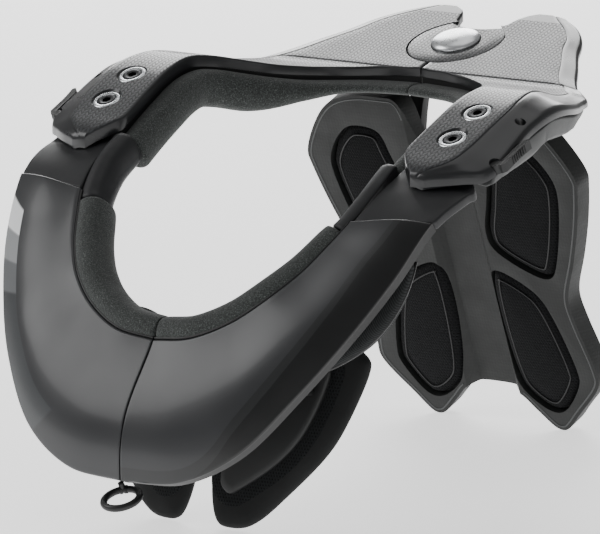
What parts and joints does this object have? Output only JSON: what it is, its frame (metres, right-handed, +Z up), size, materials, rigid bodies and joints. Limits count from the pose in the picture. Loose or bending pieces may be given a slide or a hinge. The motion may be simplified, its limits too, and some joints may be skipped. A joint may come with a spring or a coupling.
{
  "type": "motocross neck brace",
  "caption": "Rigid neck brace: a hinged ring of moulded shells round a padded neck opening, with chest pads and a back plate.",
  "frame": {"origin": "centre of the footprint, on the floor that the brace stands on", "axes": "+Z up, the wearer faces -Y, +X is the side with the wearer's left arm; the brace is mirrored about X = 0"},
  "size_m": [0.302, 0.3656, 0.2324],
  "materials": {
    "gloss_shell": "satin-gloss moulded shell with plain colour blocks",
    "frame_plastic": "matte moulded structural plastic",
    "matte_shell": "fine matte moulded plastic",
    "woven_shell": "moulded plastic embossed with a fine weave, satin rim",
    "chassis_plastic": "matte moulded plastic",
    "foam_skin": "closed-cell foam with a fine pebbled skin",
    "shoulder_foam": "foam pad under textured cloth with dark piping",
    "sleeve_rubber": "smooth soft rubber",
    "bolt_steel": "turned screw head with a hexagon socket",
    "lever_plastic": "matte moulded plastic with grip ridges",
    "hinge_plastic": "matte moulded plastic",
    "loop_rubber": "smooth moulded rubber loop",
    "button_metal": "satin domed cap",
    "inset_foam": "recessed foam pad under perforated cloth"
  },
  "bodies": {
    "core": {"hub_cap": "woven_shell", "hub_button": "button_metal", "hub_post": "hinge_plastic", "back_plate": "matte_shell", "back_pad_upper_right": "inset_foam", "back_pad_upper_left": "inset_foam", "back_pad_lower_right": "inset_foam", "back_pad_lower_left": "inset_foam"},
    "right_half": {"front_shell_right": "gloss_shell", "front_frame_right": "frame_plastic", "shoulder_pad_right": "shoulder_foam", "side_link_right": "matte_shell", "rear_shell_right": "woven_shell", "chassis_right": "chassis_plastic", "neck_foam_front_right": "foam_skin", "foam_sleeve_right": "sleeve_rubber", "neck_foam_rear_right": "foam_skin", "bolt_front_right": "bolt_steel", "bolt_rear_right": "bolt_steel", "chest_pad_right": "foam_skin", "chest_plate_right": "frame_plastic", "hinge_leaf_right": "hinge_plastic"},
    "lever_right_body": {"lever_right": "lever_plastic"},
    "left_half": {"front_shell_left": "gloss_shell", "front_frame_left": "frame_plastic", "shoulder_pad_left": "shoulder_foam", "side_link_left": "matte_shell", "rear_shell_left": "woven_shell", "chassis_left": "chassis_plastic", "neck_foam_front_left": "foam_skin", "foam_sleeve_left": "sleeve_rubber", "neck_foam_rear_left": "foam_skin", "bolt_front_left": "bolt_steel", "bolt_rear_left": "bolt_steel", "chest_pad_left": "foam_skin", "chest_plate_left": "frame_plastic", "hinge_leaf_left": "hinge_plastic", "pull_ring": "loop_rubber"},
    "lever_left_body": {"lever_left": "lever_plastic"}
  },
  "joints": [
    {"name": "right_hinge", "type": "hinge", "parent": "core", "child": "right_half", "pos_m": [0, 0.13502, 0.2208], "axis": [0, -0.2656, 0.9641], "range_deg": [0, 15]},
    {"name": "left_hinge", "type": "hinge", "parent": "core", "child": "left_half", "pos_m": [0, 0.13502, 0.2208], "axis": [0, -0.2656, 0.9641], "range_deg": [-15, 0]},
    {"name": "right_lever", "type": "hinge", "parent": "right_half", "child": "lever_right_body", "pos_m": [0.1445, -0.03398, 0.19352], "axis": [0, -0.3811, 0.9245], "range_deg": [-40, 0]},
    {"name": "left_lever", "type": "hinge", "parent": "left_half", "child": "lever_left_body", "pos_m": [-0.1445, -0.03398, 0.19352], "axis": [0, -0.3811, 0.9245], "range_deg": [0, 40]}
  ]
}
